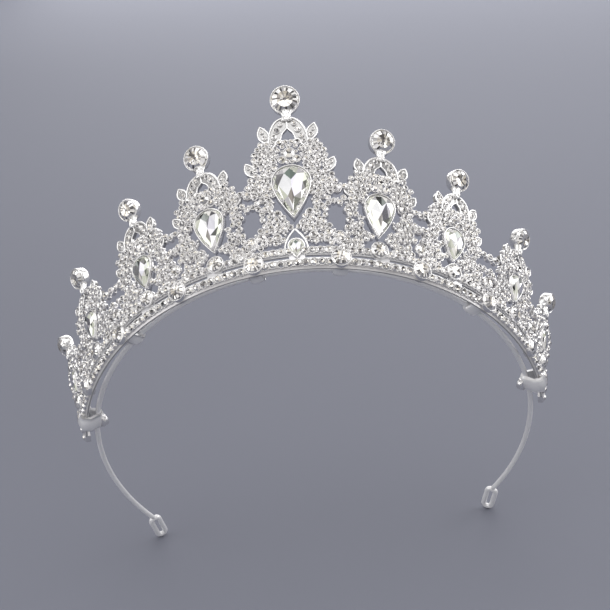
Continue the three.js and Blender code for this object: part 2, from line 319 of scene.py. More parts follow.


# ---- Stones ----

# Painted reflections on the facets: mostly bright, some pale lilac, cream or grey, a few dark.
FACET_REFLECTIONS = (
    (1.0, 1.0, 1.0), (1.0, 1.0, 1.0), (0.97, 0.97, 0.95), (0.92, 0.92, 0.95), (0.84, 0.84, 0.88),
    (0.95, 0.93, 0.87), (0.68, 0.68, 0.7), (0.2, 0.2, 0.21), (0.46, 0.45, 0.44),
)
# Painted reflections on the facets of a small stone's sunk star, and the first three for the dark
# ones of larger stones.
STAR_REFLECTIONS = (
    (0.05, 0.05, 0.055), (0.16, 0.15, 0.15), (0.4, 0.39, 0.4), (1.0, 1.0, 1.0), (0.9, 0.86, 0.78),
)
# Painted reflections of the facets seen through the table of a round stone.
ROSE_REFLECTIONS = (
    (0.62, 0.58, 0.5), (0.8, 0.76, 0.68), (0.95, 0.95, 0.93), (0.5, 0.48, 0.46), (0.2, 0.19, 0.18),
    (0.85, 0.85, 0.88),
)


# The rings of a round stone's corners: radius and height as shares of its radius, and count.
BRILLIANT = ((1.0, -0.2, 16), (1.0, 0.0, 16), (0.88, 0.14, 32), (0.58, 0.32, 32),
             (0.34, 0.28, 16), (0.13, 0.25, 16), (0.0, 0.24, 1))
BRILLIANT_COLUMNS = 32


def facet_reflections(rng, count, dark=1.0):
    """Random painted reflections for facets; dark scales how often the last, darker ones come up."""
    weights = [5, 4, 4, 3, 2, 2, 1.6 * dark, 1.4 * dark, 1.4 * dark]
    return rng.choices(FACET_REFLECTIONS, weights, k=count)


def small_stone(shape, place, diameter, rng):
    """A small foil-backed chaton: eight crown facets round a sunk star of eight, coloured with
    painted reflections.
    """
    r = diameter / 2
    turn = rng.uniform(0, pi)
    points, faces = lathe([(r, 0), (0.55 * r, 0.45 * r), (0, 0.2 * r)], 8, turn)
    tints = facet_reflections(rng, 8)
    shades = rng.choices(STAR_REFLECTIONS, (3, 3, 4, 4, 5), k=3)
    tints += [shades[0]] * 3 + [shades[1]] * 3 + [shades[2]] * 2
    shape.add(place, points, faces, tints, smooth=False)


def brilliant_reflection(level, column, rng):
    """Painted reflections: dark and bright facets in turn on the edge of the table, and a dark ring
    at the point.
    """
    if level == 5 or (level == 2 and column % 3 == 0 and rng.random() < 0.8):
        return rng.choice(STAR_REFLECTIONS[:3])
    if level >= 3:
        return rng.choice(ROSE_REFLECTIONS)
    return facet_reflections(rng, 1, 0.5 if level == 2 else 0.9)[0]


def round_stone(shape, place, diameter, rng, rise=1.0):
    """A brilliant: a girdle, two rings of crown facets, and inside the table the narrow facets of
    the pavilion round its point, each facet coloured with a painted reflection."""
    r = diameter / 2
    rings = []
    points = []
    for radius, height, count in BRILLIANT:
        repeat = BRILLIANT_COLUMNS // count
        rings.append([len(points) + i // repeat for i in range(BRILLIANT_COLUMNS)])
        for i in range(count):
            angle = 2 * pi * i / count
            points.append((radius * r * cos(angle), radius * r * sin(angle),
                           height * r * rise))
    faces = []
    tints = []
    for level, (low, high) in enumerate(zip(rings, rings[1:])):
        for i, face in enumerate(join_rings(low, high)):
            if len(face) > 2:
                faces.append(face)
                tints.append(brilliant_reflection(level, i, rng))
    shape.add(place, points, faces, tints, smooth=False)


# The pear's facets as seen from the front: x across from -1 to 1, y up from the point at 0 to
# 1, and the height of each corner above the girdle as a share of the pear's half width.
PEAR_CORNERS = {
    "crest": (0.0, 0.66, 0.34), "brow_l": (-0.34, 0.78, 0.38), "brow_r": (0.3, 0.76, 0.38),
    "crown": (-0.04, 0.88, 0.36), "cheek_l": (-0.68, 0.56, 0.33), "cheek_r": (0.6, 0.6, 0.33),
    "keel": (0.0, 0.5, 0.4), "jaw_l": (-0.22, 0.34, 0.36), "jaw_r": (0.1, 0.32, 0.36),
    "chin": (0.02, 0.17, 0.3), "hip_r": (0.5, 0.42, 0.34),
}
# Each facet's colour is a painted reflection: a dark top, a pale left, a lilac-grey right and a dark
# lower middle.
PEAR_FACETS = [
    (("crest", "brow_l", "crown", "brow_r"), (0.06, 0.09, 0.075)),
    (("crest", "keel", "jaw_l", "cheek_l", "brow_l"), (0.8, 0.81, 0.83)),
    (("crest", "brow_r", "cheek_r", "hip_r", "jaw_r", "keel"), (0.6, 0.59, 0.68)),
    (("keel", "jaw_r", "chin", "jaw_l"), (0.16, 0.145, 0.13)),
]
# How far towards white the painted reflections on the large facets of the side pears are.
SIDE_PEAR_LIGHT = 0.2
# Painted reflections on the pear's outer facets: creamy green, pale grey and white, with a few dark
# slivers.
PEAR_REFLECTIONS = ((0.74, 0.77, 0.68), (0.66, 0.7, 0.6), (0.82, 0.82, 0.84), (0.95, 0.95, 0.93),
              (0.55, 0.55, 0.58), (0.12, 0.13, 0.12))


def pear_reflections(rng, count):
    return rng.choices(PEAR_REFLECTIONS, (5, 3, 4, 4, 2, 1), k=count)


def pear_stone(shape, place, width, length, rng, light=0.0):
    """A pear with a girdle, a ring of crown facets and a keeled pavilion seen inside, its facets
    coloured with painted reflections; light takes the large facets' painted reflections towards
    white."""
    r = width / 2
    rim = pear_outline(width, length, 24)
    count = len(rim)
    points = [(x, y, -0.5) for x, y in rim] + [(x, y, 0.0) for x, y in rim]
    faces = ring_faces(count, 2)
    tints = facet_reflections(rng, len(faces), 0.3)
    ring = len(points)
    half = count // 2
    points += [(0.84 * x, 0.86 * y, 0.22 * r) for x, y in rim[::2]]
    for i in range(half):
        here = count + 2 * i
        beyond = count + (2 * i + 2) % count
        j = ring + (i + 1) % half
        faces += [(ring + i, here, here + 1), (ring + i, here + 1, j), (j, here + 1, beyond)]
        tints += pear_reflections(rng, 3)
    corner = {}
    for name, (x, y, z) in PEAR_CORNERS.items():
        corner[name] = len(points)
        points.append((x * r, (y - 0.5) * length, z * r))
    for names, tint in PEAR_FACETS:
        faces.append(tuple(corner[name] for name in names))
        tints.append(tuple(c + (1 - c) * light for c in tint))
    border = ["chin", "jaw_l", "cheek_l", "brow_l", "crown", "brow_r", "cheek_r", "hip_r", "jaw_r"]
    flanks, flank_tints = stitch(points, [corner[name] for name in border],
                                 [ring + i for i in range(half)], rng)
    shape.add(place, points, faces + flanks, tints + flank_tints, smooth=False)


def stitch(points, inner, outer, rng):
    """Triangles between two closed loops of corner numbers, matched by angle about a middle."""
    middle = sum(points[i][1] for i in inner) / len(inner)

    def bearing(i):
        return atan2(points[i][1] - middle, points[i][0]) % (2 * pi)

    last = [max(inner, key=bearing), max(outer, key=bearing)]
    faces = []
    for i in sorted(outer + inner, key=bearing):
        faces.append((*last, i))
        last[0 if i in inner else 1] = i
    return faces, pear_reflections(rng, len(faces))


# ---- Settings ----

# Tints of the metal, and how far small stones are tipped at random: a full and a plain tone;
# lighter tints on lips, rims and beads, a painted highlight; and darker ones on beds, undersides,
# slot edges and the insides of settings, a painted shade.
BRIGHT = (1.0, 1.0, 1.0)
DARK_SHADE = (0.34, 0.34, 0.34)
LIP_HIGHLIGHT = (0.98, 0.97, 0.96)
BODY = (0.9, 0.9, 0.91)
SHADE = (0.72, 0.71, 0.71)
MID_SHADE = (0.46, 0.46, 0.46)
TIPPING = radians(9)


def small_setting(shape, place, radius, rng):
    """A cast cup with a bright lip round one small stone; the lip's lighter tint is a painted
    highlight and the darker seat under the stone a painted shade.
    """
    profile = [(radius - 0.05, CAST_BACK), (radius, -0.2), (radius, CAST_FRONT - 0.12),
               (radius - 0.06, CAST_FRONT), (radius - 0.14, CAST_FRONT - 0.04),
               (0, CAST_FRONT - 0.25)]
    tints = [BODY] * 2 + [LIP_HIGHLIGHT] * 2 + [DARK_SHADE]
    shape.add(place, *lathe(profile, 12, rng.uniform(0, 1)), tints)


def bead(shape, place, radius):
    """A prong's rounded end."""
    profile = [(radius, -radius), (radius, 0), (0.7 * radius, 0.7 * radius), (0, radius)]
    shape.add(place, *lathe(profile, 6), BRIGHT)


def round_setting(shape, place, diameter, back, front):
    """A larger setting: a smooth wall, a rounded bright lip and a floor; the lip's lighter tint is a
    painted highlight, and the darker inner wall and floor a painted shade.
    """
    r = diameter / 2
    profile = [
        (0, back), (r + 0.14, back), (r + 0.26, back + 0.2), (r + 0.26, front - 0.15),
        (r + 0.17, front + 0.03), (r + 0.06, front), (r + 0.02, front - 0.2),
        (r + 0.02, front - 0.7), (0, front - 0.7),
    ]
    tints = [BODY] * 3 + [BRIGHT] * 2 + [BODY] + [DARK_SHADE] * 2
    shape.add(place, *lathe(profile, 24), tints)


def rim_wire(shape, place, outline, height, radius=0.3, closed=True):
    """A thin raised rim along an outline."""
    line = [(x, y, height) for x, y in outline]
    shape.add(place, *tube(line, radius, 5, closed), BRIGHT)


# ---- The layout of one spire ----

# The right half of the centre spire's openwork in (across, up): the outline that its small
# stones fill, and the windows left through them as (across, up, half width, half height).
CENTRE_FOOT = [
    (2.9, 8.3), (9.0, 8.3), (9.3, 7.2), (11.7, 7.2), (11.7, 11.4), (10.9, 12.6), (9.9, 14.2),
    (9.3, 16.4), (9.6, 18.8), (10.9, 20.2), (11.2, 22.6), (11.6, 24.2),
]
UPPER_MASS = [
    (13.2, 25.0), (13.4, 26.6), (12.7, 28.2), (12.3, 30.0), (11.8, 31.8), (10.8, 33.2), (10.8, 35.6),
    (11.0, 38.0), (10.4, 39.8), (8.9, 41.4), (7.9, 43.2), (5.9, 43.8), (4.7, 42.4), (3.5, 40.6),
    (3.0, 38.9), (2.9, 37.2), (3.5, 35.0), (4.7, 33.0), (5.4, 30.5), (5.7, 28.0), (5.4, 25.2),
    (4.9, 23.2), (6.2, 21.6), (6.5, 19.9), (5.8, 19.1), (4.2, 19.3), (3.3, 19.0), (2.4, 17.2),
    (1.6, 15.2), (0.4, 13.6), (2.2, 12.2), (2.8, 10.4),
]
MASS = CENTRE_FOOT + UPPER_MASS
WINDOWS = [(8.9, 21.6, 0.7, 0.8), (3.9, 11.3, 0.4, 0.8), (7.6, 11.6, 1.0, 0.4),
           (3.0, 35.4, 0.3, 0.7)]
# The other spires are filled out to the middle of the gap up to their lower link.
SIDE_MASS = [(2.2, 7.4), (11.7, 7.2), (11.9, 21.0), (11.6, 24.4)] + UPPER_MASS
SIDE_WINDOWS = [(7.0, 27.0, 0.9, 2.6), (9.8, 15.0, 0.8, 0.7), (8.6, 22.6, 0.8, 0.5)]
# The leaves as (base, point, width), the arch's two edges, and its stones as (across, up, radius).
UPPER_LEAF = ((6.1, 42.4), (7.9, 48.5), 3.1)
LOWER_LEAF = ((10.2, 31.2), (12.7, 36.0), 2.8)
LOBE_OUTSIDE = [(0.7, 51.3), (2.3, 50.7), (3.7, 49.5), (4.8, 47.5), (5.4, 45.3), (5.7, 43.3),
                (5.7, 41.6), (5.4, 40.2)]
LOBE_INSIDE = [(0.0, 50.4), (-0.1, 49.0), (-0.1, 47.9), (0.6, 46.9), (1.5, 45.9), (1.9, 44.9),
               (2.1, 43.9), (2.9, 42.8), (4.0, 41.6), (4.8, 40.6)]
LOBE_STONES = [(2.0, 49.0, 0.85), (3.1, 46.9, 1.05), (4.0, 44.6, 0.9), (4.6, 42.8, 0.6)]
SCALLOP = [(4.0, 41.9), (3.3, 43.2), (2.3, 43.6), (1.5, 43.0), (0.8, 43.3), (0.0, 42.9)]
SCALLOP_STONES = [(2.6, 42.4, 1.0), (0.9, 42.5, 0.8), (1.9, 41.0, 0.75), (3.9, 40.6, 0.75),
                  (3.1, 39.8, 0.6), (0.4, 41.4, 0.5)]
TREFOIL = [(0, 38.6, 1.8), (2.1, 36.4, 1.3), (-2.1, 36.4, 1.3), (0.7, 35.6, 0.75),
           (-0.7, 35.6, 0.75), (0, 40.4, 0.6), (2.0, 38.9, 0.5), (-2.0, 38.9, 0.5)]
# The tip stones face further down than the panels they stand on.
TIP_NOD = Matrix.Rotation(radians(20), 4, "X")
# Where the flank of the centre pear's bezel and the middle of the centre gap lie across.
SIDE_FLANK = 6.1
MID_GAP = 11.7
# The links between spires, as wide as two rows of small stones, and the grid they are tried on.
LINK_RISE = 1.2
LINK_ROOT = 3.6
LINK_SPAN = 1.3
GRID = 0.55


def neck_size(spire):
    """How large a spire's arch and neck are, against the centre spire's."""
    return (spire["cup"] / SPIRES[0]["cup"]) ** 0.5


class Stretch:
    """Maps places on half of the centre spire onto half of another spire."""

    def __init__(self, spire, half_gap):
        width, length, middle = spire["pear"]
        low = middle - length / 2 - 0.4
        high = middle + length / 2 + 0.4
        foot = min(9.6, 0.72 * low)
        self.size = neck_size(spire)
        crown = spire["tip"] - 6.6 * self.size
        self.rise = ([0.0, 9.6, 16.4, 34.4, 50.8, 57.4], [0.0, foot, low, high, crown,
                                                         spire["tip"]])
        self.flank = ([0.0, SIDE_FLANK, 13.3, 18.3],
                      [0.0, width / 2 + 0.4, spire["reach"], spire["reach"] + 5])
        self.foot = half_gap / MID_GAP

    def __call__(self, across, up):
        flank = float(np.interp(across, *self.flank))
        levels = [self.foot * across, flank, flank, self.size * across]
        return (float(np.interp(up, [9.6, 15.0, 34.0, 40.0], levels)),
                float(np.interp(up, *self.rise)))

    def line(self, points):
        return [self(x, y) for x, y in points]


def edge_distance(point, outline):
    """Distance to the nearest side of an outline."""
    best = 1e9
    px, py = point
    for (ax, ay), (bx, by) in zip(outline, outline[1:] + outline[:1]):
        dx, dy = bx - ax, by - ay
        length = dx * dx + dy * dy
        t = max(0.0, min(1.0, ((px - ax) * dx + (py - ay) * dy) / length)) if length else 0.0
        best = min(best, hypot(px - ax - t * dx, py - ay - t * dy))
    return best


def inside_outline(point, outline):
    x, y = point
    inside = False
    for (ax, ay), (bx, by) in zip(outline, outline[1:] + outline[:1]):
        if (ay > y) != (by > y) and x < (bx - ax) * (y - ay) / (by - ay) + ax:
            inside = not inside
    return inside


def ellipse(x, y, half_width, half_height):
    return [(x + half_width * cos(pi * i / 6), y + half_height * sin(pi * i / 6))
            for i in range(12)]


def pave_places(spire, half_gap, links, fill_to, rng):
    """Cups of the small stones on one half of a spire, as (across, up, radius): the half itself,
    its links to the next spire, and the gap between the two filled up to a height."""
    stretch = Stretch(spire, half_gap)
    is_centre = spire["along"] == 0
    masses = [stretch.line(MASS if is_centre else SIDE_MASS)]
    start = spire["reach"] - LINK_ROOT
    far = LINK_SPAN * half_gap
    bands = [(height - LINK_RISE, height + LINK_RISE, far) for height in links]
    if fill_to:
        bands.append((7.4, fill_to, half_gap + 0.3))
    for low, high, stop in bands:
        masses.append([(start, low), (stop, low), (stop, high), (start, high)])
    holes = [stretch.line(ellipse(*window)) for window in (WINDOWS if is_centre else SIDE_WINDOWS)]
    if not is_centre:
        holes.append(ellipse(0, ROOT["height"] + 1.0, 4.1, 3.3))
    upper_radius = UPPER["diameter"] / 2
    holes.append(ellipse(half_gap, UPPER["height"], upper_radius, upper_radius))
    if fill_to:
        middle = (UPPER["height"] + upper_radius + fill_to) / 2
        holes.append(ellipse(half_gap, middle, 0.9, 0.6))

    def allowed(place, radius):
        if not any(inside_outline(place, mass) and edge_distance(place, mass) > 0.45 * radius
                   for mass in masses):
            return False
        return all(not inside_outline(place, hole) and edge_distance(place, hole) > 0.7 * radius
                   for hole in holes)

    placed = []
    for mass in masses:
        middle = (sum(x for x, _ in mass) / len(mass), sum(y for _, y in mass) / len(mass))
        fill_from((*middle, PAVE_CUPS[0]), placed, allowed, rng)
    grid = [(float(x), float(y)) for x in np.arange(0.5, far + 2, GRID)
            for y in np.arange(6.0, spire["tip"], GRID)]
    for x, y in grid:
        fill_from((x, y, PAVE_CUPS[0]), placed, allowed, rng)
    fillers = []
    for x, y in grid:
        room = min(hypot(x - a, y - b) - r for a, b, r in placed + fillers)
        if allowed((x, y), FILLER) and room > 0.8 * FILLER:
            fillers.append((x, y, FILLER))
    return placed + fillers


def fill_from(seed, placed, allowed, rng):
    """Packs cups that touch each other, outwards from a seed, among those already placed."""

    def clear(x, y, radius):
        return all(hypot(x - a, y - b) > PAVE_PITCH * (radius + r) for a, b, r in placed)

    if not (allowed(seed[:2], seed[2]) and clear(*seed)):
        return
    placed.append(seed)
    front = [seed]
    while front:
        x, y, radius = front.pop(0)
        start = rng.uniform(0, 2 * pi)
        for k in range(PAVE_TRIES):
            angle = start + 2 * pi * k / PAVE_TRIES
            own = PAVE_CUPS[1] if rng.random() < LARGE_SHARE else PAVE_CUPS[0]
            step = 1.01 * PAVE_PITCH * (radius + own)
            q = (x + step * cos(angle), y + step * sin(angle))
            if allowed(q, own) and clear(*q, own):
                placed.append((*q, own))
                front.append(placed[-1])


# ---- Building one spire ----


def smooth_line(points, steps):
    """A smooth line of evenly spaced points through the given ones."""
    points = np.array(points, float)
    count = len(points)
    padded = np.concatenate([[2 * points[0] - points[1]], points, [2 * points[-1] - points[-2]]])
    line = []
    for i in range(steps + 1):
        s = (count - 1) * i / steps
        k = min(int(s), count - 2)
        t = s - k
        a, b, c, d = padded[k:k + 4]
        line.append(0.5 * (2 * b + (c - a) * t + (2 * a - 5 * b + 4 * c - d) * t * t
                           + (3 * b - a - 3 * c + d) * t ** 3))
    return np.array(line)


class Work:
    """A casting and the small stones set in it, with its own random draws."""

    def __init__(self, seed):
        self.metal = Shape()
        self.stones = Shape()
        self.rng = random.Random(seed)

    def set_stone(self, place, radius):
        """A small stone in a cup of the given outer radius, both tipped a little at random."""
        place = place @ Matrix.Rotation(self.rng.uniform(-TIPPING, TIPPING), 4, "X")
        place = place @ Matrix.Rotation(self.rng.uniform(-TIPPING, TIPPING), 4, "Y")
        small_setting(self.metal, place, radius, self.rng)
        small_stone(self.stones, place @ at(0, 0, CAST_FRONT - 0.14), 2 * (radius - 0.15),
                    self.rng)

    def finish(self, metal_name, stones_name, *replaced):
        make_piece(metal_name, self.metal, silver, "plated_metal", *replaced)
        make_piece(stones_name, self.stones, crystal, "rhinestone")


def build_arch(work, place, side, stretch):
    """A curved lobe down from the neck: a rimmed channel with a row of stones, and the scalloped
    edge between it and the other half's lobe."""
    outer, inner, scallop = [
        [(side * x, y) for x, y in smooth_line(stretch.line(line), steps)]
        for line, steps in ((LOBE_OUTSIDE, 14), (LOBE_INSIDE, 14), (SCALLOP, 12))
    ]
    # The channel's bed is darker than its rims: a painted shade.
    bed = prism(outer + inner[::-1], CAST_BACK, 0.2)
    work.metal.add(place, *bed, MID_SHADE, smooth=False)
    for line, radius in ((outer, 0.32), (inner, 0.26), (scallop, 0.26)):
        rim_wire(work.metal, place, line, 0.35, radius * stretch.size, False)
    for across, up, size in LOBE_STONES + SCALLOP_STONES:
        x, y = stretch(across, up)
        work.set_stone(place @ at(side * x, y, -0.05), size * stretch.size)


def build_leaf(work, place, side, stretch, leaf):
    """A pointed leaf: a rim round a sunk bed with two small stones; the bed's darker tint is a
    painted shade.
    """
    base, tip, width = leaf
    (ax, ay), (bx, by) = stretch(*base), stretch(*tip)
    length = hypot(bx - ax, by - ay)
    spot = place @ at(side * ax, ay, 0, -side * atan2(bx - ax, by - ay))
    outline = leaf_outline(width * stretch.size, length)
    work.metal.add(spot, *prism(outline, CAST_BACK, 0.3), MID_SHADE, smooth=False)
    rim_wire(work.metal, spot, outline, 0.4)
    for share, size in ((0.36, 0.29), (0.68, 0.19)):
        work.set_stone(spot @ at(0, share * length), size * width * stretch.size)


def build_collet(casting, place, spire):
    """The pear's bezel: a wall with a bright bead along its front edge; its top is lighter, a
    painted highlight, and its inner wall and floor darker, a painted shade.
    """
    width, length, middle = spire["pear"]
    outer = pear_outline(width + 0.8, length + 0.9, 40, middle)
    inner = pear_outline(width + 0.05, length + 0.1, 40, middle)
    count = len(outer)
    levels = [(outer, -1.2), (outer, 0.8), (inner, 0.95), (inner, 0.2)]
    points = [(x, y, height) for line, height in levels for x, y in line]
    tints = [BODY] * count + [LIP_HIGHLIGHT] * count + [DARK_SHADE] * count
    tints += [BODY, DARK_SHADE]
    casting.add(place, points, ring_faces(count, 4) + end_caps(count, 4), tints)
    edge = [((a[0] + b[0]) / 2, (a[1] + b[1]) / 2) for a, b in zip(outer, inner)]
    rim_wire(casting, place, edge, 0.92, 0.15)


def build_tip(casting, place, spire):
    """The polished cup and its waisted neck."""
    outer = spire["cup"] / 2
    profile = [
        (0, -1.9), (0.55 * outer, -1.9), (0.85 * outer, -1.5), (0.97 * outer, -0.8),
        (outer, 0.9), (outer, 1.45), (outer - 0.1, 1.62), (outer - 0.24, 1.58),
        (outer - 0.3, 1.2), (outer - 0.3, 0.4), (0, 0.4),
    ]
    # The inside of the cup is darker: a painted shade.
    tints = [BRIGHT] * 8 + [DARK_SHADE] * 2
    casting.add(place @ at(0, spire["tip"]) @ TIP_NOD, *lathe(profile, 28), tints)
    size = neck_size(spire)
    top = spire["tip"] - 0.46 * spire["cup"]
    bottom = spire["tip"] - 7.2 * size
    waist = 1.35 * size
    path = [(0, top - (top - bottom) * t, -0.1) for t in (0, 0.3, 0.6, 0.8, 1.0)]
    radii = [1.7 * waist, 1.1 * waist, waist, 1.2 * waist, 1.5 * waist]
    casting.add(place, *tube(path, radii, 10, flat=0.7), BRIGHT)
    for k in (-1, 1):
        path = [(0.9 * k * waist, top + 0.4, 0.5), (0.35 * k * waist, (top + bottom) / 2, 0.95),
                (0.9 * k * waist, bottom, 0.6)]
        casting.add(place, *tube(path, 0.28), BRIGHT)


def build_trefoil(work, place, stretch):
    """The settings between the pear and the arch."""
    for across, up, size in TREFOIL:
        x, y = stretch(abs(across), up)
        work.set_stone(place @ at(copysign(x, across), y, 0.25), size * stretch.size)


def build_half(work, place, side, spire, half_gap, layout):
    """One half of a spire: its packed small stones, its lobe of the arch and its two leaves."""
    stretch = Stretch(spire, half_gap)
    rng = work.rng
    for x, y, radius in layout:
        spot = place @ at(side * x, y, rng.uniform(-0.12, 0.12))
        if radius == FILLER:
            profile = [(radius, CAST_BACK), (1.2 * radius, 0.1), (0.7 * radius, 0.45), (0, 0.5)]
            work.metal.add(spot, *lathe(profile, 7), BODY)
            continue
        work.set_stone(spot, radius)
        # A bed under each stone's cup, darker than the cups: a painted shade between them.
        near = sum(hypot(x - a, y - b) < 2.6 * radius for a, b, _ in layout)
        spread = (1.3 if near > 5 else 1.0) * radius
        bed = lathe([(0, CAST_BACK), (spread, CAST_BACK), (spread, 0.1), (0, 0.1)], 8)
        work.metal.add(spot, *bed, SHADE, smooth=False)
        angle = rng.uniform(0, 2 * pi)
        r = 1.08 * radius
        prong = at(r * cos(angle), r * sin(angle), CAST_FRONT - 0.2)
        bead(work.metal, spot @ prong, 0.2)
    build_arch(work, place, side, stretch)
    for leaf in (UPPER_LEAF, LOWER_LEAF):
        build_leaf(work, place, side, stretch, leaf)


def spire_place(spire):
    """A spire's axes: set a little towards the centre at its foot, and fanned outwards."""
    away = copysign(1, spire["along"])
    place = panel(spire["along"], FLARE + spire["lean"])
    return place @ at(-away * spire["shift"], 0, 0, -away * spire["fan"])


def build_spire(spire, label, halves, seed):
    """The casting and small stones of one spire, and the stones that it holds. Each half is
    given as its side, the half gap to the next spire there and the places of its stones."""
    work = Work(seed)
    place = spire_place(spire)
    for side, half_gap, layout in halves:
        build_half(work, place, side, spire, half_gap, layout)
    build_collet(work.metal, place, spire)
    build_tip(work.metal, place, spire)
    build_trefoil(work, place, Stretch(spire, MID_GAP))
    work.finish(f"casting_{label}", f"pave_{label}", f"spire_frame_{label}")
    width, length, middle = spire["pear"]
    pear = Shape()
    light = SIDE_PEAR_LIGHT if spire["along"] else 0.0
    pear_stone(pear, place @ at(0, middle, 0.8), width, length, work.rng, light)
    make_piece(f"pear_{label}", pear, crystal, "rhinestone", f"pear_stone_{label}")
    tip = Shape()
    cup = place @ at(0, spire["tip"]) @ TIP_NOD
    round_stone(tip, cup @ at(0, 0, 1.35), spire["cup"] - 0.6, work.rng, 1.1)
    make_piece(f"tip_{label}", tip, crystal, "rhinestone", f"tip_stone_{label}")


# ---- Rail ----


def band_strip(shape, section, start, end, steps, side_tints=None):
    """A closed section of (out, up) points swept along the rail between two arcs, with a tint
    for each side of the section."""
    count = len(section)
    points = []
    for i in range(steps + 1):
        place = panel(start + (end - start) * i / steps)
        points += [place @ Vector((0, up, out)) for out, up in section]
    faces = end_caps(count, steps + 1) + ring_faces(count, steps + 1)
    tints = [BODY] * 2 + (side_tints or [BODY] * count) * steps
    shape.add(Matrix.Identity(4), points, faces, tints, smooth=False)


def rounded_box(low_out, high_out, low_up, high_up, soft):
    """A section of (out, up) points with its corners cut."""
    return [
        (low_out, low_up + soft), (low_out + soft, low_up), (high_out - soft, low_up),
        (high_out, low_up + soft), (high_out, high_up - soft), (high_out - soft, high_up),
        (low_out + soft, high_up), (low_out, high_up - soft),
    ]


def junction_arcs():
    """Where the middles of the gaps between spires lie along the rail."""
    return [(near["along"] + far["along"]) / 2 for near, far in zip(SPIRES, SPIRES[1:])]


def build_rail():
    """The rail's two bars with posts between their slots, and a row of small stones on each."""
    bars = Shape()
    half = RAIL_THICKNESS / 2
    steps = 132
    slot_low = SLOT_AT - SLOT_HEIGHT / 2
    slot_high = SLOT_AT + SLOT_HEIGHT / 2
    back = half - RAIL_DEPTH
    lower = [(back, 0.18), (back + 0.18, 0), (half - RAIL_BEVEL, 0), (half, RAIL_BEVEL_TOP),
             (half, slot_low), (back, slot_low)]
    # The lower bar's underside, bevel and slot ledge are darker: painted shade.
    lower_tints = [BODY, MID_SHADE, SHADE, BRIGHT, DARK_SHADE, BODY]
    band_strip(bars, lower, -RAIL_REACH, RAIL_REACH, steps, lower_tints)
    upper = rounded_box(back, half - 0.3, slot_high, RAIL_HEIGHT, 0.18)
    # The upper bar's underside, over the slots, is darker: painted shade.
    upper_tints = [BODY, DARK_SHADE] + [BODY] * (len(upper) - 2)
    band_strip(bars, upper, -RAIL_REACH, RAIL_REACH, steps, upper_tints)
    edges = [0.0]
    for near, far in zip(SPIRES, SPIRES[1:]):
        near, far = near["along"], far["along"]
        for slot in (near + (far - near) / 4, far - (far - near) / 4):
            edges += [slot - SLOT_LENGTH / 2, slot + SLOT_LENGTH / 2]
    edges.append(RAIL_REACH)
    for start, end in zip(edges[::2], edges[1::2]):
        for side in (1, -1):
            low, high = sorted((side * start, side * end))
            post = rounded_box(back, half - 0.3, slot_low - 0.3, slot_high + 0.3, 0.1)
            band_strip(bars, post, low, high, 3)
    make_piece("rail", bars, steel, "plated_metal", "base_rail")
    work = Work(7)
    stud_row(work, 1.75, 2.4, 2.2, half + 0.1, atan2(RAIL_BEVEL, RAIL_BEVEL_TOP))
    stud_row(work, 5.6, 2.3, 2.1, half, 0.0)
    work.finish("rail_cups", "rail_pave")


def stud_row(work, height, diameter, spacing, front, lean):
    """A row of small stones along the rail, each in its own cup, with beads between them."""
    count = int(RAIL_REACH / spacing)
    for i in range(-count, count + 1):
        spot = panel(i * spacing) @ at(0, height, front)
        spot = spot @ Matrix.Rotation(lean, 4, "X") @ at(0, 0, 0.35 - CAST_FRONT)
        work.set_stone(spot, diameter / 2)
        for k in (-1, 1):
            prong = at(0.5 * spacing, k * 0.34 * diameter, CAST_FRONT - 0.15)
            bead(work.metal, spot @ prong, 0.26)


def rail_stone(settings, foot, size, rng, name, *replaced):
    """A round stone in a smooth setting, as a piece of its own."""
    place = foot @ at(0, size["height"])
    round_setting(settings, place, size["diameter"], size["back"], size["front"])
    stone = Shape()
    round_stone(stone, place @ at(0, 0, size["front"] - 0.1), size["diameter"], rng)
    make_piece(name, stone, crystal, "rhinestone", *replaced)


def build_rail_stones():
    """The round stones on the rail, and the navette at its middle."""
    rng = random.Random(11)
    settings = Shape()
    for side, word in SIDES:
        for index, arc in enumerate(junction_arcs(), 1):
            rail_stone(settings, panel(side * arc), JUNCTION, rng,
                       f"junction_{word}_{index}", f"junction_stone_{word}_{index}")
        for index, spire in enumerate(SPIRES[1:], 1):
            foot = spire_place(dict(spire, along=side * spire["along"]))
            rail_stone(settings, foot, ROOT, rng,
                       f"root_{word}_{index}", f"root_stone_{word}_{index}")
        for arc in junction_arcs():
            rail_stone(settings, panel(side * arc), UPPER, rng, f"upper_{word}_{int(arc)}")
    width, length = NAVETTE_SIZE
    place = panel(0) @ at(0, NAVETTE_HEIGHT)
    outline = pear_outline(width + 0.5, length + 0.5, 24)
    # The plate behind the navette is darker: a painted shade.
    settings.add(place, *prism(outline, -0.6, 1.1, 0.1), DARK_SHADE, smooth=False)
    rim_wire(settings, place, outline, 1.1, 0.26)
    peak = smooth_line(NAVETTE_PEAK, 10)
    for side in (1, -1):
        settings.add(panel(0), *tube([(side * x, y, 0.7) for x, y in peak], 0.36), BRIGHT)
    navette = Shape()
    pear_stone(navette, place @ at(0, 0, 1.15), width, length, rng)
    make_piece("navette_centre", navette, crystal, "rhinestone", "navette_stone_centre")
    make_piece("rail_settings", settings, silver, "plated_metal")


# ---- Wire, tabs and wraps ----


